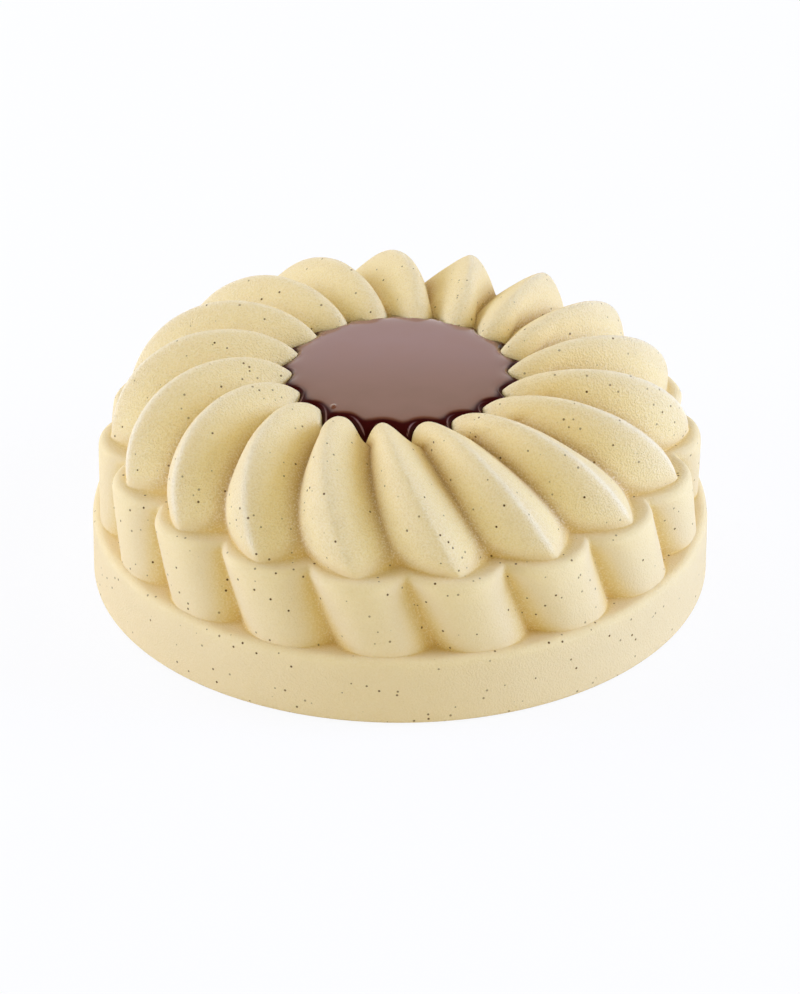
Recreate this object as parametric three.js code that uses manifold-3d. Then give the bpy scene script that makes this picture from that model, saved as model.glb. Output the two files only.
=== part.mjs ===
// A round mousse cake cast in a fluted mould: a crown of spiral petals round a glazed well,
// a ruff of leaning lobes below the crown, a smooth plinth, and the layers sealed inside.
// Millimetres, +Z up, the middle of the underside at the origin, the front towards -Y.
import * as THREE from 'three';
import { mergeVertices } from 'three/addons/utils/BufferGeometryUtils.js';
import Module from 'manifold-3d';

const wasm = await Module();
wasm.setup();

// Driving dimensions
const PETALS = 18;
const PITCH = 360 / PETALS;
const CLEARANCE = 0.3;

const PLINTH = { radius: 90, height: 21, topRound: 1.8, footRound: 1.2 };
const RUFF_TOP = 44;
const LOBE_TOP = { crown: 87.8, groove: 81.2, round: 1.5 };
const LOBE_FOOT = { crown: 88, groove: 81 };

// A petal's ridge and the valley beside it are both arches: an inner and an outer quarter ellipse
// that meet level at the apex. The inner foot stands in the well, the outer foot on the ruff.
const RIDGE = { innerFoot: 28, apexRadius: 53, apexHeight: 71.4, outerFoot: 84.1 };
const VALLEY = { innerFoot: 36, apexRadius: 42.5, apexHeight: 63.7, outerFoot: 75.3 };
const WELL_FLOOR = 56.4;

// How full the rounding is between two creases: 1 gives flat flanks to a sharp ridge, 2 a round back
const RIDGE_FULLNESS = 1.25;
const NOSE_FULLNESS = 2.2;
const LOBE_FULLNESS = 2.1;

// The turn of a petal about the axis, in degrees from the front: at its apex, and how far it turns
// over the inner quarter and over the outer one; the lobes lean on in the same sense to the plinth.
const TURN = { apex: -2.8, inner: 6.6, outerRidge: 14.3, outerValley: 11.8 };
const LOBE_TURN = TURN.apex + TURN.outerRidge;
const LOBE_LEAN = 5.2;

// The poured glaze: level in the middle, falling to a rounded rim, held just off the mousse
const GLAZE = { top: 65.2, level: 25, rimRadius: 37, rimHeight: 59.5, foot: 55, lift: 0.5 };

// The stack inside, from the underside up: outer radius and thickness of each layer
const LAYERS = [
  { name: 'base_biscuit', radius: 81, thickness: 9, colour: 0xb9824a, roughness: 0.95 },
  { name: 'praline_crunch', radius: 81, thickness: 4, colour: 0x8a5a2e, roughness: 0.8 },
  { name: 'vanilla_sponge', radius: 62, thickness: 9, colour: 0xe6c98c, roughness: 0.95 },
  { name: 'caramel_cremeux', radius: 62, thickness: 13, colour: 0xb87a3c, roughness: 0.6 },
  { name: 'soft_caramel', radius: 62, thickness: 5, colour: 0x7a3a14, roughness: 0.3 },
];
const LAYER_EDGE = 0.8;

// Fineness of the facets
const ACROSS_PETAL = [-0.5, -0.37, -0.24, -0.1, 0, 0.1, 0.24, 0.37];
const INNER_STEPS = [0.12, 0.3, 0.52, 0.76];
const OUTER_STEPS = [1, 1.15, 1.3, 1.45, 1.6, 1.74, 1.87, 2];
const LOBE_STEPS = [0, 0.34, 0.67, 1];
const RIM_STEPS = [0.25, 0.5, 0.75, 1];
const ROUND_SIDES = 60;

const mix = THREE.MathUtils.lerp;
const rad = THREE.MathUtils.degToRad;

function onAxisCircle(radius, turn, height) {
  return new THREE.Vector3(radius * Math.sin(rad(turn)), -radius * Math.cos(rad(turn)), height);
}

// 1 on a ridge, 0 in the valleys beside it; round at the inner end of a petal, sharper further out
function ridgeShare(across, step) {
  return 1 - Math.abs(2 * across) ** mix(NOSE_FULLNESS, RIDGE_FULLNESS, Math.min(step, 1));
}

// 1 on the crown of a lobe, 0 in the grooves beside it
function lobeShare(across) {
  return 1 - Math.abs(2 * across) ** LOBE_FULLNESS;
}

function petalTurn(step, share) {
  if (step < 1) {
    return TURN.apex + TURN.inner * (step * step - 1);
  }
  return TURN.apex + mix(TURN.outerValley, TURN.outerRidge, share) * (step - 1);
}

// A point of the crown: step 0 in the well, 1 at the apex of the arch, 2 on the ruff
function crownPoint(step, across, petal) {
  const share = ridgeShare(across, step);
  const apexRadius = mix(VALLEY.apexRadius, RIDGE.apexRadius, share);
  const apexHeight = mix(VALLEY.apexHeight, RIDGE.apexHeight, share);
  const turn = PITCH * (petal + across) + petalTurn(step, share);
  if (step < 1) {
    const angle = step * Math.PI / 2;
    const span = apexRadius - mix(VALLEY.innerFoot, RIDGE.innerFoot, share);
    const rise = apexHeight - WELL_FLOOR;
    return onAxisCircle(apexRadius - span * Math.cos(angle), turn, WELL_FLOOR + rise * Math.sin(angle));
  }
  const angle = (step - 1) * Math.PI / 2;
  const span = mix(VALLEY.outerFoot, RIDGE.outerFoot, share) - apexRadius;
  const drop = apexHeight - RUFF_TOP;
  return onAxisCircle(apexRadius + span * Math.sin(angle), turn, RUFF_TOP + drop * Math.cos(angle));
}

// A point of the ruff: down 0 at the upper edge of a lobe, 1 on the plinth
function lobePoint(down, across, petal, inset = 0, raise = 0) {
  const share = lobeShare(across);
  const top = mix(LOBE_TOP.groove, LOBE_TOP.crown, share);
  const foot = mix(LOBE_FOOT.groove, LOBE_FOOT.crown, share);
  const turn = PITCH * (petal + across) + LOBE_TURN + LOBE_LEAN * down;
  const height = mix(RUFF_TOP - LOBE_TOP.round, PLINTH.height, down);
  return onAxisCircle(mix(top, foot, down) - inset, turn, height + raise);
}

function plinthPoint(radius, height, across, petal) {
  return onAxisCircle(radius, PITCH * (petal + across) + LOBE_TURN + LOBE_LEAN, height);
}

// Rings of the mousse skin from the well over the crown and down to the underside
function mousseRings() {
  const { radius, height, topRound, footRound } = PLINTH;
  const { round } = LOBE_TOP;
  const plinthOutline = [
    [radius - topRound, height],
    [radius - topRound * (1 - Math.SQRT1_2), height - topRound * (1 - Math.SQRT1_2)],
    [radius, height - topRound],
    [radius, footRound],
    [radius - footRound, 0],
  ];
  return [
    ...[...INNER_STEPS, ...OUTER_STEPS].map((step) => (across, petal) => crownPoint(step, across, petal)),
    (across, petal) => lobePoint(0, across, petal, round, round),
    (across, petal) => lobePoint(0, across, petal, round * (1 - Math.SQRT1_2), round * Math.SQRT1_2),
    ...LOBE_STEPS.map((down) => (across, petal) => lobePoint(down, across, petal)),
    ...plinthOutline.map(([r, z]) => (across, petal) => plinthPoint(r, z, across, petal)),
  ];
}

// A closed skin through the rings, capped by a point on the axis at each end
function skinThrough(rings, topPoint, bottomPoint) {
  const columns = [];
  for (let petal = 0; petal < PETALS; petal += 1) {
    ACROSS_PETAL.forEach((across) => columns.push([across, petal]));
  }
  const count = columns.length;
  const positions = [];
  rings.forEach((ring) => {
    columns.forEach(([across, petal]) => positions.push(...ring(across, petal)));
  });
  const top = positions.push(...topPoint) / 3 - 1;
  const bottom = positions.push(...bottomPoint) / 3 - 1;
  const faces = [];
  for (let column = 0; column < count; column += 1) {
    const next = (column + 1) % count;
    faces.push(top, column, next);
    for (let ring = 0; ring < rings.length - 1; ring += 1) {
      const above = ring * count;
      const below = above + count;
      faces.push(above + column, below + column, below + next);
      faces.push(above + column, below + next, above + next);
    }
    const last = (rings.length - 1) * count;
    faces.push(last + column, bottom, last + next);
  }
  const geometry = new THREE.BufferGeometry();
  geometry.setAttribute('position', new THREE.Float32BufferAttribute(positions, 3));
  geometry.setIndex(faces);
  return geometry;
}

// A body of revolution from a profile of [radius, height] pairs that starts and ends on the axis
function turned(profile) {
  const points = profile.map(([r, z]) => new THREE.Vector2(r, z));
  return new THREE.LatheGeometry(points, ROUND_SIDES).rotateX(Math.PI / 2);
}

function toSolid(geometry) {
  const bare = geometry.clone();
  bare.deleteAttribute('normal');
  bare.deleteAttribute('uv');
  const merged = mergeVertices(bare, 1e-4);
  return new wasm.Manifold(new wasm.Mesh({
    numProp: 3,
    vertProperties: new Float32Array(merged.attributes.position.array),
    triVerts: new Uint32Array(merged.index.array),
  }));
}

function toGeometry(solid) {
  const mesh = solid.getMesh();
  const geometry = new THREE.BufferGeometry();
  geometry.setAttribute('position', new THREE.Float32BufferAttribute(mesh.vertProperties, 3));
  geometry.setIndex([...mesh.triVerts]);
  geometry.computeVertexNormals();
  return geometry;
}

// Heights of the underside and the top of each layer, with the clearance between neighbours
function layerHeights() {
  let foot = 0;
  return LAYERS.map((layer) => {
    const span = { ...layer, foot, top: foot + layer.thickness };
    foot = span.top + CLEARANCE;
    return span;
  });
}

function layerDisc({ radius, foot, top }) {
  return turned([
    [0, foot],
    [radius - LAYER_EDGE, foot],
    [radius, foot + LAYER_EDGE],
    [radius, top - LAYER_EDGE],
    [radius - LAYER_EDGE, top],
    [0, top],
  ]);
}

// The stepped hollow that holds the layers, open at the underside
function layerHollow(layers) {
  const step = layers.findIndex((layer) => layer.radius < layers[0].radius);
  const wide = layers[0].radius + CLEARANCE;
  const narrow = layers[step].radius + CLEARANCE;
  const shoulder = layers[step - 1].top + CLEARANCE;
  const ceiling = layers[layers.length - 1].top + CLEARANCE;
  return turned([
    [0, -CLEARANCE],
    [wide, -CLEARANCE],
    [wide, shoulder],
    [narrow, shoulder],
    [narrow, ceiling],
    [0, ceiling],
  ]);
}

// The glaze before the petals bite into it
function glazeBlank() {
  const { top, level, rimRadius, rimHeight, foot } = GLAZE;
  const rim = RIM_STEPS.map((share) => {
    const angle = share * Math.PI / 2;
    return [mix(level, rimRadius, Math.sin(angle)), mix(rimHeight, top, Math.cos(angle))];
  });
  return turned([[0, foot], [rimRadius, foot], ...rim.reverse(), [level, top], [0, top]]);
}

function piece(name, geometry, colour, roughness) {
  const material = new THREE.MeshStandardMaterial({ color: colour, roughness, metalness: 0 });
  const mesh = new THREE.Mesh(geometry, material);
  mesh.name = name;
  return mesh;
}

const layers = layerHeights();
const skin = skinThrough(mousseRings(), [0, 0, WELL_FLOOR], [0, 0, 0]);
const cast = toSolid(skin);
const mousse = cast.subtract(toSolid(layerHollow(layers)));
const glaze = toSolid(glazeBlank()).subtract(cast.translate([0, 0, GLAZE.lift])).subtract(cast);

const cake = new THREE.Group();
cake.add(piece('mousse_body', toGeometry(mousse), 0xecdcb0, 0.9));
cake.add(piece('glaze_pool', toGeometry(glaze), 0x4a150c, 0.08));
layers.forEach((layer) => cake.add(piece(layer.name, layerDisc(layer), layer.colour, layer.roughness)));

export default cake;
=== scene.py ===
# A velvet-sprayed mousse cake: spiral petals round a poured glaze, a ruff of lobes and a plinth.
# Sizes are in millimetres from the middle of the underside, +Z up, the front towards -Y.
import itertools
import math

import bpy
import numpy as np
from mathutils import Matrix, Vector


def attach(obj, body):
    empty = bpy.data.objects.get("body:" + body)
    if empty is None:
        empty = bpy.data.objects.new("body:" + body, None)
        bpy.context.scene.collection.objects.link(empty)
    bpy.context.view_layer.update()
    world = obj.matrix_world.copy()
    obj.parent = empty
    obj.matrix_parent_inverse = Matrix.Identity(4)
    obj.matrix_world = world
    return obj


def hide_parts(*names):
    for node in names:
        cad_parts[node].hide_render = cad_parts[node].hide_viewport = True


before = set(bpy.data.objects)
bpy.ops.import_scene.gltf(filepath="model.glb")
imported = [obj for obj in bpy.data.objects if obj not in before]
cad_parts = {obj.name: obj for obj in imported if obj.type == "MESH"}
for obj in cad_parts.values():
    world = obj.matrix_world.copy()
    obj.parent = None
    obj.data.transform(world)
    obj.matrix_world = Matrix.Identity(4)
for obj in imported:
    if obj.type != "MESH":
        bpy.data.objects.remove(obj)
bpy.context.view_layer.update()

MM = 0.001

# The mousse cast
PETALS = 18
PITCH = 360 / PETALS
PLINTH_RADIUS, PLINTH_HEIGHT = 90.0, 21.0
PLINTH_TOP_ROUND, PLINTH_FOOT_ROUND = 2.2, 1.4
RUFF_TOP = 44.0
LOBE_ROUND = 2.6
LOBE_TOP_CROWN, LOBE_TOP_GROOVE = 87.8, 81.2
LOBE_FOOT_CROWN, LOBE_FOOT_GROOVE = 88.0, 81.0
LOBE_FULLNESS = 2.4
LOBE_LEAN = 5.2

# A ridge and a valley are arches: inner foot, apex radius, apex height, outer foot
RIDGE = np.array([28.0, 53.0, 71.6, 84.1])
VALLEY = np.array([36.0, 42.5, 62.6, 75.2])
WELL_FLOOR = 56.4
# Steps over an arch: its inner foot, its apex and its outer foot
STEPS = (0, 1, 2)
# How full a petal's two faces are, and how far its valley leans in degrees, at these steps
LEFT_FULLNESS = (2.2, 1.6, 1.4)
RIGHT_FULLNESS = (2.2, 1.25, 1.1)
VALLEY_LEAN = (3.8, 1.5, 1.0)
RIDGE_SOFTNESS = 0.025
# The turn of a petal in degrees: at its apex, and over its inner and outer quarters
TURN_APEX, TURN_INNER, TURN_OUTER_RIDGE, TURN_OUTER_VALLEY = -2.8, 6.6, 14.3, 11.5
LOBE_TURN = TURN_APEX + TURN_OUTER_RIDGE

# The sprayed coat: passes that round the cast, and the heights and sizes of its unevenness
COAT_PASSES = 2
COAT_WAVES = ((0.08, 7.0), (0.02, 2.6))
# Passes of smoothing that tell creases, valleys and edges from the even skin
CREASE_PASSES, VALLEY_PASSES, EDGE_PASSES = 120, 320, 10
VALLEY_PASS_STRENGTH = 0.9

# The glaze: its level top, where it meets the mousse between petals and at their tips,
# how much higher it stands on the tips at the back, and the width of its drawn-down rim
GLAZE_TOP, GLAZE_DOME, GLAZE_RADIUS = 65.35, 0.7, 36.0
GLAZE_EDGE_VALLEY, GLAZE_EDGE_TIP, GLAZE_DROOP = 61.2, 63.9, 1.2
GLAZE_EDGE_STEP = 0.45
GLAZE_TILT = 0.8
GLAZE_RIM = 1.35
GLAZE_BURIED = 1.006
GLAZE_FOOT, GLAZE_FOOT_SHARE = 58.0, 0.97
# A thin bead inside the rim, on the flanks that face the middle, and one small bubble
BEAD_MIDDLE = -6.0
BEAD_INSET, BEAD_WIDTH, BEAD_HEIGHT = 1.2, 0.3, 0.12
BUBBLE_PLACE = (-19.1, -21.2)
BUBBLE_RADIUS, BUBBLE_HEIGHT, BUBBLE_STEEPNESS = 0.75, 0.38, 4

# The layers inside: outer radius, underside, top
LAYERS = {
    "base_biscuit": (81.0, 0.0, 9.0),
    "praline_crunch": (81.0, 9.3, 13.3),
    "vanilla_sponge": (62.0, 13.6, 22.6),
    "caramel_cremeux": (62.0, 22.9, 35.9),
    "soft_caramel": (62.0, 36.2, 41.2),
}
LAYER_EDGE = 0.8
HOLLOW_GAP = 0.3
# The finer pits of a crumb: their share of the depth, and how many times smaller they are
FINE_PIT_DEPTH, FINE_PIT_RATIO = 0.6, 2.3
PIT_STEEPNESS = 1.5

# Fineness of the meshes: columns round the cake, and rings from the well to the underside
COLUMNS_PER_PETAL = 44
COLUMNS = PETALS * COLUMNS_PER_PETAL
FIRST_STEP = 0.12
INNER_RINGS, OUTER_RINGS = 36, 72
LEDGE_RINGS, SHOULDER_RINGS, LOBE_RINGS = 4, 9, 38
TREAD_RINGS, RIM_RINGS, WALL_RINGS, TOE_RINGS = 7, 7, 26, 6
POOL_GRID, SETTLING_PASSES = 0.25, 500
POOL_RINGS, POOL_FIRST_SHARE, POOL_CROWDING, POOL_PASSES = 70, 0.03, 1.4, 6
LAYER_COLUMNS, LAYER_FACE_RINGS, LAYER_SIDE_RINGS, LAYER_FIRST_SHARE = 480, 80, 12, 0.02
# Least lengths to divide by
LEAST_NORMAL, LEAST_STEP = 1e-9, 0.01
# The place of each column, counted in petals, and its place across its petal from -0.5 to 0.5
COLUMN = np.arange(COLUMNS) / COLUMNS_PER_PETAL
ACROSS = (COLUMN + 0.5) % 1 - 0.5

# The scrambled whole numbers behind the lumps
SCRAMBLE_STEPS = np.array([73856093, 19349663, 83492791])
SCRAMBLE_FACTOR, SCRAMBLE_MASK = 1274126177, 0xFFFF
FIRST_SHIFT, SECOND_SHIFT = 7, 9

# Tones of the velvet coat in screen values, the pairs for the ruff and plinth and for the crown
COAT_IVORY = ((236, 213, 153), (247, 224, 154))
# Painted shade: a darker golden tone in the broad valleys between petals and between lobes, where shade
# falls
COAT_PAINTED_SHADE = ((230, 201, 122), (214, 181, 114))
# Painted shade: a deeper yellow-brown tone in the narrow creases, where shade falls
COAT_CREASE_SHADE = ((226, 191, 103), (210, 174, 105))
# Painted highlight: a paler tone on the broad ridges, where light falls
COAT_RIDGE_HIGHLIGHT = (243, 220, 155)
# Painted highlight: a near-white line along the sharp ridge edges of the petals, where they catch the light
COAT_EDGE_HIGHLIGHT = (255, 243, 203)
COAT_CLOUD = (232, 206, 142)
COAT_PIT = (208, 172, 98)
COAT_DOT = (249, 233, 188)
SEED_BROWN = (96, 62, 6)
# Where the crown and the front petals begin and are reached, in metres
CROWN_BAND = (43 * MM, 50 * MM)
FRONT_BAND = (20 * MM, 40 * MM)
FRONT_MIDDLE, FRONT_SIDES = -3 * MM, (14 * MM, 26 * MM)
# Where each tone begins and is full, in millimetres below or above the evened skin: the painted valley
# shade, the painted crease shade, the grain, and the painted highlights on ridges and sharp edges
PAINTED_SHADE_BAND, CREASE_SHADE_BAND, GRAIN_BAND = (0.2, 3.2), (0.0, 1.8), (-0.8, 2.8)
RIDGE_HIGHLIGHT_BAND, EDGE_HIGHLIGHT_BAND = (0.6, 3.0), (0.03, 0.3)
# Lumps to a metre, detail and roughness of each noise, and the values where its tone begins and is full
COAT_CLOUDS, CLOUD_BAND = (160.0, 3.0, 0.5), (0.35, 0.7)
COAT_GRAIN, PIT_BAND, DOT_BAND = (1900.0, 1.0, 0.6), (0.34, 0.5), (0.5, 0.66)
SEED_PATCHES, PATCH_BAND = (90.0, 2.0, 0.5), (0.4, 0.6)
SEED_SCALE, SEED_BAND = 290.0, (0.075, 0.125)
# How strong each tone is, the pairs for the ruff and for the crown
# The painted valley shade reaches further up on the ruff than on the crown
PAINTED_SHADE_LIFT = (1.2, 0.0)
# Strength of the painted crease shade
CREASE_SHADE_STRENGTH = (0.65, 0.5)
GRAIN_STRENGTH, DEEP_GRAIN_STRENGTH = (0.09, 0.27), 0.25
BUMP_STRENGTH, BUMP_HEIGHT, BUMP_SHARE = (0.85, 1.65), 0.3 * MM, 0.8
CLOUD_STRENGTH, PIT_STRENGTH = 0.12, 0.6
# The pairs for the painted edge highlight on the other petals and on the front ones, and for sparse and full
# patches of seeds
EDGE_HIGHLIGHT_STRENGTH = (0.72, 0.12)
SEED_STRENGTH = (0.6, 1.0)
VELVET = {
    "roughness": 0.9,
    "specular_ior_level": 0.15,
    "sheen_weight": 0.12,
    "sheen_roughness": 0.4,
    "sheen_tint": (1.0, 0.88, 0.66, 1.0),
}

# Tones of the glaze, the pair for its front and its back: its own red-brown with painted reflection mixed
# in, lighter towards the back
GLAZE_BROWN_AND_REFLECTION = ((121, 72, 42), (141, 95, 81))
GLAZE_CLOUD = (138, 84, 60)
# Painted shade and painted dark reflection where the glaze falls into the valleys at its rim
GLAZE_RIM_SHADE = (58, 13, 9)
# Painted highlight: a pale line on the raised bead inside the rim
GLAZE_BEAD_HIGHLIGHT = (150, 116, 108)
# Where they begin and are full: places in metres, noise, millimetres fallen below the top, share of the bead
GLAZE_BACK_BAND, GLAZE_FRONT_BAND = (-18 * MM, 22 * MM), (0.0, 18 * MM)
GLAZE_CLOUDS, GLAZE_CLOUD_BAND, GLAZE_CLOUD_STRENGTH = (90.0, 2.0, 0.5), (0.3, 0.7), 0.25
# The first band sets in the painted rim shade
RIM_SHADE_BAND, DULL_BAND, BEAD_FALL_BAND = (0.1, 0.4), (0.14, 0.5), (0.3, 0.8)
# Where the painted highlight on the bead sets in, and how strong it is
BEAD_HIGHLIGHT_BAND, BEAD_HIGHLIGHT_STRENGTH = (0.25, 0.9), 0.75
# How much of the fall counts, at the back and at the front, so the painted rim shade is stronger at the
# front
FALL_STRENGTH = (0.5, 1.0)
GLOSS = {
    "roughness": 0.05,
    "ior": 1.5,
    "specular_ior_level": 0.04,
    "coat_roughness": 0.03,
    "coat_ior": 1.8,
}

# Each layer's finish: name, light and dark tone, grains to a metre, roughness, depth and size of its pits
LAYER_FINISHES = {
    "base_biscuit": ("baked biscuit", (206, 156, 92), (150, 98, 48), 420.0, 0.9, 1.2, 3.2),
    "praline_crunch": ("praline crunch", (168, 112, 58), (92, 54, 24), 700.0, 0.6, 0.7, 2.0),
    "vanilla_sponge": ("vanilla sponge", (238, 212, 150), (216, 178, 104), 520.0, 0.95, 1.0, 2.6),
    "caramel_cremeux": ("caramel cremeux", (196, 140, 76), (182, 122, 60), 160.0, 0.45, 0.15, 5.0),
    "soft_caramel": ("soft caramel", (132, 66, 24), (104, 46, 14), 90.0, 0.2, 0.12, 8.0),
}
CRUMB_DETAIL, CRUMB_HARDNESS, CRUMB_BAND = 4.0, 0.65, (0.35, 0.65)
CRUMB_HEIGHT, CRUMB_SHARE = 0.6 * MM, 0.6

# Sockets of a Mix node that is set to colours
MIX_SHARE, MIX_FIRST, MIX_SECOND, MIX_RESULT = 0, 6, 7, 2

# The photograph's camera
CAMERA_DISTANCE = 2000.0
CAMERA_ELEVATION = 30.17
CAMERA_AIM = 22.3
CAMERA_LENS = 307.2
SENSOR_WIDTH = 36.0

# The studio: how the wall light fades upwards (from, to, share), and where the dark ceiling begins
WALL_LIGHT, CEILING_LIGHT = 1.2, 0.05
WALL_TINT = (1.0, 0.985, 0.94, 1.0)
WALL_FADES = ((0.1, 0.5, 0.27), (0.38, 0.62, 0.15))
CEILING_EDGE = (0.64, 0.76)
# The floor, its half width in metres
FLOOR_SIZE = 12.0
FLOOR_GAP = 0.1
FLOOR_COLOUR, FLOOR_GLOW = (0.9, 0.9, 0.9, 1.0), 0.9
# The soft boxes, in metres, and their tints
BOX_DISTANCE, BOX_WIDTH, BOX_HEIGHT, BOX_AIM = 1.4, 0.8, 0.7, 0.04
WHITE = (1.0, 1.0, 1.0)
PALE = (0.95, 1.0, 1.35)
COOL = (0.83, 1.05, 2.28)
COOLER = (0.68, 1.03, 2.6)
WARM = (1.2, 1.0, 0.65)
# Name, azimuth, elevation, radiance and tint of each soft box
SOFT_BOXES = [
    ("left soft box", -90, 20, 4.1, COOL),
    ("left upper soft box", -90, 45, 0.3, WARM),
    ("right soft box", 90, 20, 4.9, COOLER),
    ("right upper soft box", 90, 45, 1.1, WARM),
    ("back left soft box", -140, 40, 2.0, PALE),
    ("top soft box", 180, 85, 1.2, WHITE),
]


# Shapes

def mix(low, high, share):
    """low at a share of 0, high at a share of 1."""
    return low + (high - low) * share


def around(radius, turn, height):
    """Points at a radius, a turn in degrees from the front, and a height."""
    angle = np.radians(turn)
    return np.stack(np.broadcast_arrays(radius * np.sin(angle), -radius * np.cos(angle), height), -1)


def ridge_share(step):
    """1 on a ridge and 0 in the valleys beside it, with the ridge's edge rounded."""
    from_ridge = np.sqrt((2 * ACROSS) ** 2 + RIDGE_SOFTNESS ** 2) - RIDGE_SOFTNESS
    from_ridge /= math.sqrt(1 + RIDGE_SOFTNESS ** 2) - RIDGE_SOFTNESS
    left, right = (np.interp(step, STEPS, fullness) for fullness in (LEFT_FULLNESS, RIGHT_FULLNESS))
    return 1 - from_ridge ** np.where(ACROSS < 0, left, right)


def lobe_share():
    """1 on the crown of a lobe and 0 in the grooves beside it."""
    return 1 - np.abs(2 * ACROSS) ** LOBE_FULLNESS


def crown_ring(step):
    """A ring of the crown: step 0 in the well, 1 over the apex of each arch, 2 on the ruff."""
    share = ridge_share(step)
    inner_foot, apex_radius, apex_height, outer_foot = (mix(v, r, share) for v, r in zip(VALLEY, RIDGE))
    if step < 1:
        angle = step * math.pi / 2
        turn = TURN_APEX + TURN_INNER * (step * step - 1)
        radius = apex_radius - (apex_radius - inner_foot) * math.cos(angle)
        height = WELL_FLOOR + (apex_height - WELL_FLOOR) * math.sin(angle)
    else:
        angle = (step - 1) * math.pi / 2
        turn = TURN_APEX + mix(TURN_OUTER_VALLEY, TURN_OUTER_RIDGE, share) * (step - 1)
        radius = apex_radius + (outer_foot - apex_radius) * math.sin(angle)
        height = RUFF_TOP + (apex_height - RUFF_TOP) * math.cos(angle)
    lean = np.interp(step, STEPS, VALLEY_LEAN) * (1 - share)
    return around(radius, PITCH * COLUMN + turn + lean, height)


def lobe_ring(down, inset=0.0, raised=0.0):
    """A ring of the ruff: down 0 at the lobes' rounded shoulder, 1 on the plinth."""
    share = lobe_share()
    top = mix(LOBE_TOP_GROOVE, LOBE_TOP_CROWN, share)
    foot = mix(LOBE_FOOT_GROOVE, LOBE_FOOT_CROWN, share)
    height = mix(RUFF_TOP - LOBE_ROUND, PLINTH_HEIGHT, down)
    turn = PITCH * COLUMN + LOBE_TURN + LOBE_LEAN * down
    return around(mix(top, foot, down) - inset, turn, height + raised)


def plinth_ring(radius, height):
    """A round ring in line with the feet of the lobes."""
    return around(radius, PITCH * COLUMN + LOBE_TURN + LOBE_LEAN, height)


def bridge(first, last, count):
    """The rings between two rings, on straight lines."""
    return [mix(first, last, share) for share in np.linspace(0, 1, count + 2)[1:-1]]


def quarter(count):
    """Angles over a quarter round, both ends included."""
    return np.linspace(0, math.pi / 2, count)


def mousse_skin():
    """Rings of the cast from the well over the crown, the ruff and the plinth to the underside."""
    rings = [crown_ring(step) for step in np.linspace(FIRST_STEP, 1, INNER_RINGS)]
    rings += [crown_ring(step) for step in np.linspace(1, 2, OUTER_RINGS)[1:]]
    shoulder = [
        lobe_ring(0, LOBE_ROUND * (1 - math.sin(a)), LOBE_ROUND * math.cos(a))
        for a in quarter(SHOULDER_RINGS)
    ]
    rings += bridge(rings[-1], shoulder[0], LEDGE_RINGS) + shoulder
    rings += [lobe_ring(down) for down in np.linspace(0, 1, LOBE_RINGS)[1:]]
    top, foot = PLINTH_TOP_ROUND, PLINTH_FOOT_ROUND
    rim = [
        plinth_ring(PLINTH_RADIUS - top * (1 - math.sin(a)), PLINTH_HEIGHT - top * (1 - math.cos(a)))
        for a in quarter(RIM_RINGS)
    ]
    rings += bridge(rings[-1], rim[0], TREAD_RINGS) + rim
    toe = [
        plinth_ring(PLINTH_RADIUS - foot * (1 - math.cos(a)), foot * (1 - math.sin(a)))
        for a in quarter(TOE_RINGS)
    ]
    rings += bridge(rim[-1], toe[0], WALL_RINGS) + toe
    return np.array(rings)


def hollow_rings():
    """Rings of the stepped hollow in the underside that holds the layers."""
    wide = LAYERS["base_biscuit"][0] + HOLLOW_GAP
    narrow = LAYERS["vanilla_sponge"][0] + HOLLOW_GAP
    shoulder = LAYERS["praline_crunch"][2] + HOLLOW_GAP
    ceiling = LAYERS["soft_caramel"][2] + HOLLOW_GAP
    corners = [(wide, 0.0), (wide, shoulder), (narrow, shoulder), (narrow, ceiling)]
    return np.array([plinth_ring(radius, height) for radius, height in corners])


def soften(rings, passes, strength=0.5):
    """Rounds creases and edges as a sprayed coat does; the first and last ring stay."""
    rings = rings.copy()
    for _ in range(passes):
        beside = np.roll(rings, 1, 1) + np.roll(rings, -1, 1)
        middle = (beside[1:-1] + rings[:-2] + rings[2:]) / 4
        rings[1:-1] += strength * (middle - rings[1:-1])
    return rings


def lumps(points, size):
    """Smooth noise between -1 and 1 with lumps of about the given size."""
    cell = points / size
    base = np.floor(cell).astype(np.int64)
    part = cell - base
    part = part * part * (3 - 2 * part)
    total = np.zeros(points.shape[:-1])
    for corner in itertools.product((0, 1), repeat=3):
        key = (base + corner) @ SCRAMBLE_STEPS
        key = (key ^ (key >> FIRST_SHIFT)) * SCRAMBLE_FACTOR
        value = ((key >> SECOND_SHIFT) & SCRAMBLE_MASK) / (SCRAMBLE_MASK / 2) - 1
        total += value * np.prod(np.where(corner, part, 1 - part), axis=-1)
    return total


def outward(rings):
    """Unit normals of a skin of rings, away from the solid."""
    along = np.gradient(rings, axis=0)
    beside = np.roll(rings, -1, 1) - np.roll(rings, 1, 1)
    normal = np.cross(along, beside)
    return normal / np.maximum(np.linalg.norm(normal, axis=-1, keepdims=True), LEAST_NORMAL)


def closed_skin(name, rings, top, bottom):
    """A closed mesh through rings, from a point at the top to a point at the bottom."""
    ring_count, columns = rings.shape[:2]
    points = np.concatenate([rings.reshape(-1, 3), [top, bottom]]) * MM
    here = np.arange(columns)
    after = np.roll(here, -1)
    band = np.stack([here, here + columns, after + columns, after], -1)
    faces = (np.arange(ring_count - 1)[:, None, None] * columns + band).reshape(-1, 4).tolist()
    crown = ring_count * columns
    last = (ring_count - 1) * columns
    faces += np.stack([np.full(columns, crown), here, after], -1).tolist()
    faces += np.stack([last + here, np.full(columns, crown + 1), last + after], -1).tolist()
    mesh = bpy.data.meshes.new(name)
    mesh.from_pydata(points.tolist(), [], faces)
    mesh.shade_smooth()
    piece = bpy.data.objects.new(name, mesh)
    bpy.context.scene.collection.objects.link(piece)
    return piece


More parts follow.
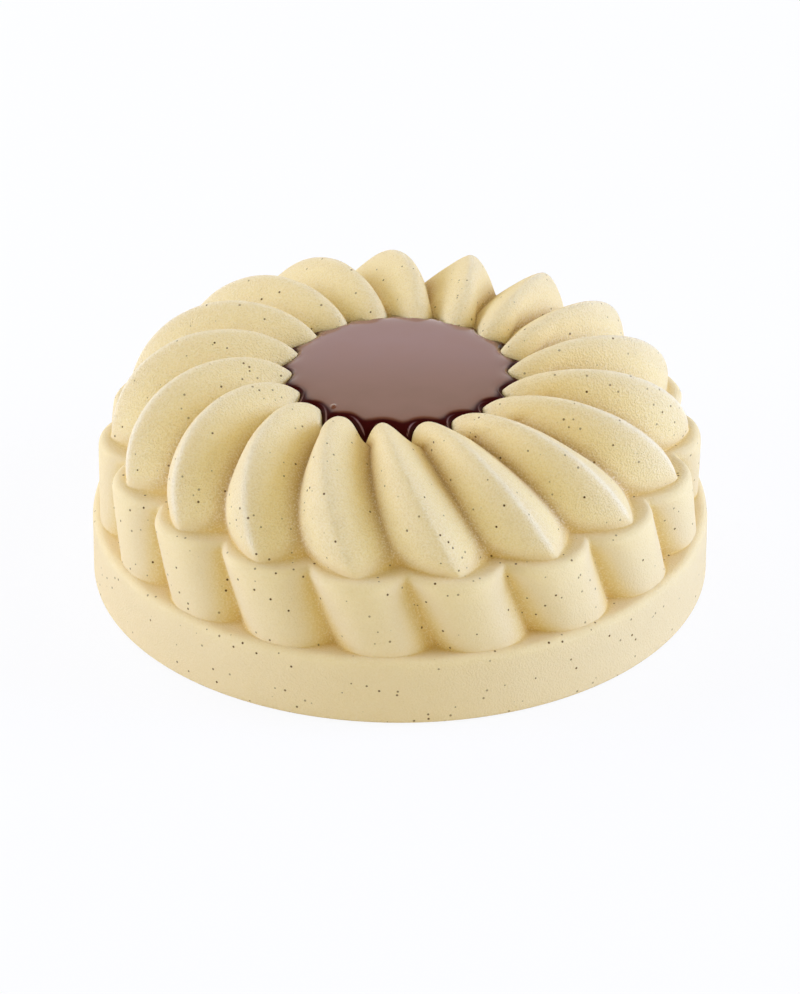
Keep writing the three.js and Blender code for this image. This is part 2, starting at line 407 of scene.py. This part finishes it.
def paint_points(piece, name, values):
    """Keeps a number on every point of a piece for its finish to read."""
    spare = len(piece.data.vertices) - values.size
    layer = piece.data.attributes.new(name, "FLOAT", "POINT")
    layer.data.foreach_set("value", np.concatenate([values.ravel(), np.zeros(spare)]).astype(np.float32))


def make_mousse():
    """The cast with its rounded edges and the slight unevenness of the sprayed coat."""
    skin = soften(mousse_skin(), COAT_PASSES)
    normal = outward(skin)
    hollow = ((soften(skin, CREASE_PASSES) - skin) * normal).sum(-1)
    valley = ((soften(skin, VALLEY_PASSES, VALLEY_PASS_STRENGTH) - skin) * normal).sum(-1)
    edge = ((skin - soften(skin, EDGE_PASSES)) * normal).sum(-1)
    uneven = sum(height * lumps(skin, size) for height, size in COAT_WAVES)
    uneven[-TOE_RINGS:] = 0
    skin = skin + normal * uneven[..., None]
    skin[..., 2] = np.maximum(skin[..., 2], 0)
    inside = hollow_rings()
    rings = np.concatenate([skin, inside])
    piece = closed_skin("mousse_cast", rings, (0, 0, WELL_FLOOR), (0, 0, inside[-1, 0, 2]))
    paint_points(piece, "hollow", hollow)
    paint_points(piece, "valley", valley)
    paint_points(piece, "edge", edge)
    return piece, skin


def turn_of(points):
    """Turn in degrees from the front of points in plan."""
    return np.degrees(np.arctan2(points[..., 0], -points[..., 1]))


def glaze_outline(skin):
    """Where the glaze meets the inner ends of the petals, one point for each column of the cast."""
    inner = skin[:INNER_RINGS + 1]
    share = ridge_share(GLAZE_EDGE_STEP) ** GLAZE_DROOP
    backward = -np.cos(np.radians(turn_of(inner[0])))
    level = mix(GLAZE_EDGE_VALLEY, GLAZE_EDGE_TIP + GLAZE_TILT * backward, share)
    points = []
    for column in range(COLUMNS):
        heights = inner[:, column, 2]
        place = np.interp(level[column], heights, np.arange(len(heights)))
        whole = min(int(place), len(heights) - 2)
        points.append(mix(inner[whole, column], inner[whole + 1, column], place - whole))
    outline = np.array(points)
    outline[:, :2] *= GLAZE_BURIED
    return outline


def dome(points):
    """Height of the glaze far from its rim."""
    return GLAZE_TOP - GLAZE_DOME * (points[..., :2] ** 2).sum(-1) / GLAZE_RADIUS ** 2


def settled_pool(outline):
    """Heights of the glaze on a square grid: a liquid that is drawn down along its outline."""
    half = np.abs(outline[:, :2]).max() + 2 * POOL_GRID
    axis = np.arange(-half, half + POOL_GRID, POOL_GRID)
    grid = np.stack(np.meshgrid(axis, axis, indexing="ij"), -1)
    turn = turn_of(grid)
    rim_turn = turn_of(outline)
    rim_radius = np.interp(turn, rim_turn, np.linalg.norm(outline[:, :2], axis=1), period=360)
    height = np.interp(turn, rim_turn, outline[:, 2], period=360)
    inside = np.linalg.norm(grid, axis=-1) < rim_radius
    domed = dome(grid)
    height[inside] = domed[inside]
    pull = (POOL_GRID / GLAZE_RIM) ** 2
    for _ in range(SETTLING_PASSES):
        beside = sum(np.roll(height, shift, side) for side in (0, 1) for shift in (1, -1))
        height = np.where(inside, (beside + pull * domed) / (4 + pull), height)
    return axis, height


def read_grid(axis, values, points):
    """Values of a square grid at points in plan, blended between its four nearest nodes."""
    place = (points[..., :2] - axis[0]) / POOL_GRID
    whole = np.clip(place.astype(int), 0, len(axis) - 2)
    part = place - whole
    column, row = whole[..., 0], whole[..., 1]
    near = mix(values[column, row], values[column, row + 1], part[..., 1])
    far = mix(values[column + 1, row], values[column + 1, row + 1], part[..., 1])
    return mix(near, far, part[..., 0])


def steps_from(outline, points):
    """Steps in plan from the nearest point of an outline to each point."""
    steps = points[:, None, :2] - outline[None, :, :2]
    nearest = np.linalg.norm(steps, axis=-1).argmin(axis=1)
    return steps[np.arange(len(points)), nearest]


def bead_share(rings, outline):
    """1 on the bead inside the glaze's outline, on the flanks that face the middle, and 0 elsewhere."""
    steps = np.array([steps_from(outline, ring) for ring in rings])
    inside = np.maximum(np.linalg.norm(steps, axis=-1), LEAST_STEP)
    inward = np.clip(np.sign(BEAD_MIDDLE - rings[..., 0]) * steps[..., 0] / inside, 0, 1)
    return inward * np.exp(-((inside - BEAD_INSET) / BEAD_WIDTH) ** 2)


def make_glaze(skin):
    """The poured glaze with its settled top and a skirt that reaches down into the well."""
    outline = glaze_outline(skin)
    axis, height = settled_pool(outline)
    shares = 1 - (1 - np.linspace(POOL_FIRST_SHARE, 1, POOL_RINGS)) ** POOL_CROWDING
    rings = np.array([outline * share for share in shares])
    rings[..., 2] = read_grid(axis, height, rings)
    rings = soften(rings, POOL_PASSES)
    aside = np.linalg.norm(rings[..., :2] - BUBBLE_PLACE, axis=-1) / BUBBLE_RADIUS
    rings[..., 2] += BUBBLE_HEIGHT * np.exp(-aside ** BUBBLE_STEEPNESS)
    bead = bead_share(rings, outline)
    rings[..., 2] += BEAD_HEIGHT * bead
    skirt = outline * GLAZE_FOOT_SHARE
    skirt[:, 2] = GLAZE_FOOT
    rings = np.concatenate([rings, [skirt]])
    piece = closed_skin("glaze", rings, (0, 0, GLAZE_TOP), (0, 0, GLAZE_FOOT))
    paint_points(piece, "fallen", dome(rings) - rings[..., 2])
    paint_points(piece, "bead", bead)
    return piece


def make_layer(name, pit_depth, pit_size):
    """A round layer whose faces are pitted inwards like a crumb."""
    radius, foot, top = LAYERS[name]
    turn = np.linspace(0, 360, LAYER_COLUMNS, endpoint=False)
    flat = radius - LAYER_EDGE
    shares = np.linspace(LAYER_FIRST_SHARE, 1, LAYER_FACE_RINGS)
    rings = [around(flat * share, turn, top) for share in shares]
    side = np.linspace(top - LAYER_EDGE, foot + LAYER_EDGE, LAYER_SIDE_RINGS)
    rings += [around(radius, turn, height) for height in side]
    rings += [around(flat * share, turn, foot) for share in shares[::-1]]
    rings = np.array(rings)
    pit = lumps(rings, pit_size) + FINE_PIT_DEPTH * lumps(rings, pit_size / FINE_PIT_RATIO)
    pit = np.clip(pit, 0, 1) ** PIT_STEEPNESS
    rings = rings - outward(rings) * (pit_depth * pit)[..., None]
    return closed_skin(name.replace("_", "-") + "-layer", rings, (0, 0, top), (0, 0, foot))


# Finishes

class Wire:
    """A socket that takes part in sums; each sum adds a Math node."""

    def __init__(self, paint, socket):
        self.paint, self.socket = paint, socket

    def maths(self, operation, *values):
        return self.paint.node("ShaderNodeMath", {"operation": operation}, dict(enumerate(values)))

    def __add__(self, other):
        return self.maths("ADD", self, other)

    def __sub__(self, other):
        return self.maths("SUBTRACT", self, other)

    def __rsub__(self, other):
        return self.maths("SUBTRACT", other, self)

    def __mul__(self, other):
        return self.maths("MULTIPLY", self, other)

    __radd__, __rmul__ = __add__, __mul__

    def __neg__(self):
        return 0 - self

    def __abs__(self):
        return self.maths("ABSOLUTE", self)

    def at_most(self, limit):
        return self.maths("MINIMUM", self, limit)

    def between(self, low, high):
        """0 below low, 1 above high and smooth between them."""
        inputs = {"Value": self, "From Min": low, "From Max": high}
        return self.paint.node("ShaderNodeMapRange", {"interpolation_type": "SMOOTHSTEP"}, inputs)


def colour(red, green, blue):
    """A colour written in screen values from 0 to 255."""
    def linear(value):
        share = value / 255
        return share / 12.92 if share <= 0.04045 else ((share + 0.055) / 1.055) ** 2.4
    return (linear(red), linear(green), linear(blue), 1.0)


class Paint:
    """The node tree of a material or of the studio's surroundings."""

    def __init__(self, owner):
        self.owner = owner
        owner.use_nodes = True
        self.tree = owner.node_tree
        self.tree.nodes.clear()

    def node(self, kind, settings=None, inputs=None, output=0):
        """Adds a node with its settings and inputs, and gives one of its outputs."""
        node = self.tree.nodes.new(kind)
        for key, value in (settings or {}).items():
            setattr(node, key, value)
        for key, value in (inputs or {}).items():
            if isinstance(value, Wire):
                self.tree.links.new(value.socket, node.inputs[key])
            else:
                node.inputs[key].default_value = value
        return Wire(self, node.outputs[output]) if node.outputs else None

    def place(self):
        """The place of a point on the piece."""
        return self.node("ShaderNodeTexCoord", output="Object")

    def along(self, axis):
        """How far along X, Y or Z a point of the piece is."""
        return self.node("ShaderNodeSeparateXYZ", None, {"Vector": self.place()}, axis)

    def kept(self, name):
        """A number that is kept on the points of the piece."""
        return self.node("ShaderNodeAttribute", {"attribute_name": name}, output="Fac")

    def noise(self, scale, detail, roughness):
        inputs = {"Vector": self.place(), "Scale": scale, "Detail": detail, "Roughness": roughness}
        return self.node("ShaderNodeTexNoise", None, inputs)

    def blend(self, share, first, second):
        """A colour between two colours, each from a node or in screen values."""
        first, second = (tone if isinstance(tone, Wire) else colour(*tone) for tone in (first, second))
        inputs = {MIX_SHARE: share, MIX_FIRST: first, MIX_SECOND: second}
        return self.node("ShaderNodeMix", {"data_type": "RGBA"}, inputs, MIX_RESULT)

    def bump(self, height, distance, strength):
        inputs = {"Height": height, "Distance": distance, "Strength": strength}
        return self.node("ShaderNodeBump", None, inputs)

    def finish(self, **inputs):
        """The finished material, from values or links for the shader's sockets."""
        names = {}
        for key, value in inputs.items():
            names[key.replace("_", " ").title().replace("Ior", "IOR")] = value
        shader = self.node("ShaderNodeBsdfPrincipled", None, names)
        self.node("ShaderNodeOutputMaterial", None, {"Surface": shader})
        return self.owner


def paint_for(name):
    """The empty node tree of a new material."""
    return Paint(bpy.data.materials.new(name))


def velvet_mousse():
    """Ivory spray coat with fine grain and brown vanilla seeds, painted golden shade in valleys and creases,
    and painted highlights on ridges and edges.
    """
    paint = paint_for("velvet mousse")
    hollow, valley, edge = (paint.kept(name) for name in ("hollow", "valley", "edge"))
    crown = paint.along("Z").between(*CROWN_BAND)
    # The painted edge highlight is weak on the two front petals
    middle = 1 - abs(paint.along("X") - FRONT_MIDDLE).between(*FRONT_SIDES)
    front = (-paint.along("Y")).between(*FRONT_BAND) * middle
    # Painted shade: a darker golden tone in the broad valleys, where shade falls
    painted_shade = (valley + mix(*PAINTED_SHADE_LIFT, crown)).between(*PAINTED_SHADE_BAND)
    # Painted highlight on the broad ridges
    ridge_highlight = (-valley).between(*RIDGE_HIGHLIGHT_BAND)
    # Painted shade in the narrow creases, stronger on the ruff than on the crown
    crease_shade = hollow.between(*CREASE_SHADE_BAND) * mix(*CREASE_SHADE_STRENGTH, crown)
    # Painted highlight along the sharp edges of the crown's petals
    edge_highlight = edge.between(*EDGE_HIGHLIGHT_BAND) * crown * mix(*EDGE_HIGHLIGHT_STRENGTH, front)
    cloudy = paint.noise(*COAT_CLOUDS).between(*CLOUD_BAND) * CLOUD_STRENGTH
    grain = paint.noise(*COAT_GRAIN)
    grainy = mix(*GRAIN_STRENGTH, crown) + valley.between(*GRAIN_BAND) * DEEP_GRAIN_STRENGTH
    pitted = (1 - grain.between(*PIT_BAND)) * grainy * PIT_STRENGTH
    dotted = grain.between(*DOT_BAND) * grainy
    seeds = paint.node("ShaderNodeTexVoronoi", None, {"Vector": paint.place(), "Scale": SEED_SCALE})
    patches = paint.noise(*SEED_PATCHES).between(*PATCH_BAND)
    seeded = (1 - seeds.between(*SEED_BAND)) * mix(*SEED_STRENGTH, patches)
    body = paint.blend(painted_shade, paint.blend(crown, *COAT_IVORY), paint.blend(crown, *COAT_PAINTED_SHADE))
    body = paint.blend(ridge_highlight, body, COAT_RIDGE_HIGHLIGHT)
    body = paint.blend(crease_shade, body, paint.blend(crown, *COAT_CREASE_SHADE))
    body = paint.blend(edge_highlight, body, COAT_EDGE_HIGHLIGHT)
    body = paint.blend(cloudy, body, COAT_CLOUD)
    body = paint.blend(pitted, body, COAT_PIT)
    body = paint.blend(dotted, body, COAT_DOT)
    body = paint.blend(seeded, body, SEED_BROWN)
    normal = paint.bump(grain * mix(*BUMP_STRENGTH, crown), BUMP_HEIGHT, BUMP_SHARE)
    return paint.finish(base_color=body, normal=normal, **VELVET)


def mirror_glaze():
    """Red-brown glaze with a mirror gloss and painted reflection, with painted shade and painted dark
    reflection where it falls to its rim, strongest at the front.
    """
    paint = paint_for("mirror glaze")
    back = paint.along("Y")
    fallen = paint.kept("fallen") * mix(*FALL_STRENGTH, (-back).between(*GLAZE_FRONT_BAND))
    cloudy = paint.noise(*GLAZE_CLOUDS).between(*GLAZE_CLOUD_BAND) * GLAZE_CLOUD_STRENGTH
    # Painted highlight on the raised bead inside the rim, on the flanks that face the middle
    bead_highlight = paint.kept("bead").between(*BEAD_HIGHLIGHT_BAND) * fallen.between(*BEAD_FALL_BAND) * BEAD_HIGHLIGHT_STRENGTH
    # The glaze's own red-brown with painted reflection, lighter towards the back
    body = paint.blend(back.between(*GLAZE_BACK_BAND), *GLAZE_BROWN_AND_REFLECTION)
    body = paint.blend(cloudy, body, GLAZE_CLOUD)
    # Painted shade and painted dark reflection where the glaze falls to its rim
    body = paint.blend(fallen.between(*RIM_SHADE_BAND), body, GLAZE_RIM_SHADE)
    body = paint.blend(bead_highlight, body, GLAZE_BEAD_HIGHLIGHT)
    glossy = 1 - fallen.between(*DULL_BAND)
    return paint.finish(base_color=body, coat_weight=glossy, **GLOSS)


def crumb(name, light, dark, grains, roughness):
    """A baked or set layer: two tones in grains and bump."""
    paint = paint_for(name)
    grain = paint.noise(grains, CRUMB_DETAIL, CRUMB_HARDNESS)
    body = paint.blend(grain.between(*CRUMB_BAND), dark, light)
    normal = paint.bump(grain, CRUMB_HEIGHT, CRUMB_SHARE)
    return paint.finish(base_color=body, roughness=roughness, normal=normal)


# Pieces on the cake

def settle(piece, node, material):
    """Puts a finish on a piece that stands for a CAD node and lets it ride with the cake."""
    piece.data.materials.append(material)
    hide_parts(node)
    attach(piece, "root")


mousse, mousse_rings = make_mousse()
settle(mousse, "mousse_body", velvet_mousse())
settle(make_glaze(mousse_rings), "glaze_pool", mirror_glaze())
for node, (finish, light, dark, grains, roughness, pit_depth, pit_size) in LAYER_FINISHES.items():
    settle(make_layer(node, pit_depth, pit_size), node, crumb(finish, light, dark, grains, roughness))


# Studio

def towards(azimuth, elevation):
    """Unit vector from the cake: azimuth 0 is the front, 90 the right."""
    a, e = math.radians(azimuth), math.radians(elevation)
    return Vector((math.sin(a) * math.cos(e), -math.cos(a) * math.cos(e), math.sin(e)))


def make_camera():
    """The camera at the photograph's viewing angle."""
    lens = bpy.data.cameras.new("camera")
    lens.sensor_fit = "HORIZONTAL"
    lens.sensor_width = SENSOR_WIDTH
    lens.lens = CAMERA_LENS
    camera = bpy.data.objects.new("camera", lens)
    back = towards(0, CAMERA_ELEVATION)
    camera.location = (Vector((0, 0, CAMERA_AIM)) + back * CAMERA_DISTANCE) * MM
    camera.rotation_euler = back.to_track_quat("Z", "Y").to_euler()
    bpy.context.scene.collection.objects.link(camera)
    bpy.context.scene.camera = camera


def make_soft_box(name, azimuth, elevation, radiance, tint):
    """A flat panel of even light that faces the cake and doesn't show in the gloss."""
    lamp = bpy.data.lights.new(name, "AREA")
    lamp.color = tint
    lamp.shape = "RECTANGLE"
    lamp.size, lamp.size_y = BOX_WIDTH, BOX_HEIGHT
    lamp.energy = radiance * math.pi * BOX_WIDTH * BOX_HEIGHT
    panel = bpy.data.objects.new(name, lamp)
    way = towards(azimuth, elevation)
    panel.location = way * BOX_DISTANCE + Vector((0, 0, BOX_AIM))
    panel.rotation_euler = way.to_track_quat("Z", "Y").to_euler()
    panel.visible_glossy = False
    bpy.context.scene.collection.objects.link(panel)


def make_floor():
    """A white floor that shows as white and keeps the cake's shadow."""
    size = FLOOR_SIZE
    z = -FLOOR_GAP * MM
    corners = [(-size, -size, z), (size, -size, z), (size, size, z), (-size, size, z)]
    mesh = bpy.data.meshes.new("floor")
    mesh.from_pydata(corners, [], [(0, 1, 2, 3)])
    floor = bpy.data.objects.new("floor", mesh)
    bpy.context.scene.collection.objects.link(floor)
    paint = paint_for("white floor")
    rays = ("Is Camera Ray", "Is Glossy Ray", "Is Transmission Ray")
    seen, mirrored, through = (paint.node("ShaderNodeLightPath", output=ray) for ray in rays)
    shown = (seen + mirrored + through).at_most(1.0) * FLOOR_GLOW
    matt = paint.node("ShaderNodeBsdfDiffuse", None, {"Color": FLOOR_COLOUR})
    glow = paint.node("ShaderNodeEmission", None, {"Color": (1, 1, 1, 1), "Strength": 1.0})
    both = paint.node("ShaderNodeMixShader", None, {0: shown, 1: matt, 2: glow})
    paint.node("ShaderNodeOutputMaterial", None, {"Surface": both})
    mesh.materials.append(paint.owner)


def make_surroundings():
    """Even light from the walls of a studio under a dark ceiling."""
    paint = Paint(bpy.data.worlds.new("studio"))
    way = paint.node("ShaderNodeTexCoord", output="Generated")
    upward = paint.node("ShaderNodeSeparateXYZ", None, {"Vector": way}, "Z")
    lit = 1
    for low, high, share in WALL_FADES:
        lit = lit - upward.between(low, high) * share
    wall = lit * WALL_LIGHT
    strength = mix(wall, CEILING_LIGHT, upward.between(*CEILING_EDGE))
    light = paint.node("ShaderNodeBackground", None, {"Color": WALL_TINT, "Strength": strength})
    paint.node("ShaderNodeOutputWorld", None, {"Surface": light})
    bpy.context.scene.world = paint.owner


make_camera()
make_floor()
make_surroundings()
for box in SOFT_BOXES:
    make_soft_box(*box)
bpy.context.scene.view_settings.view_transform = "Standard"
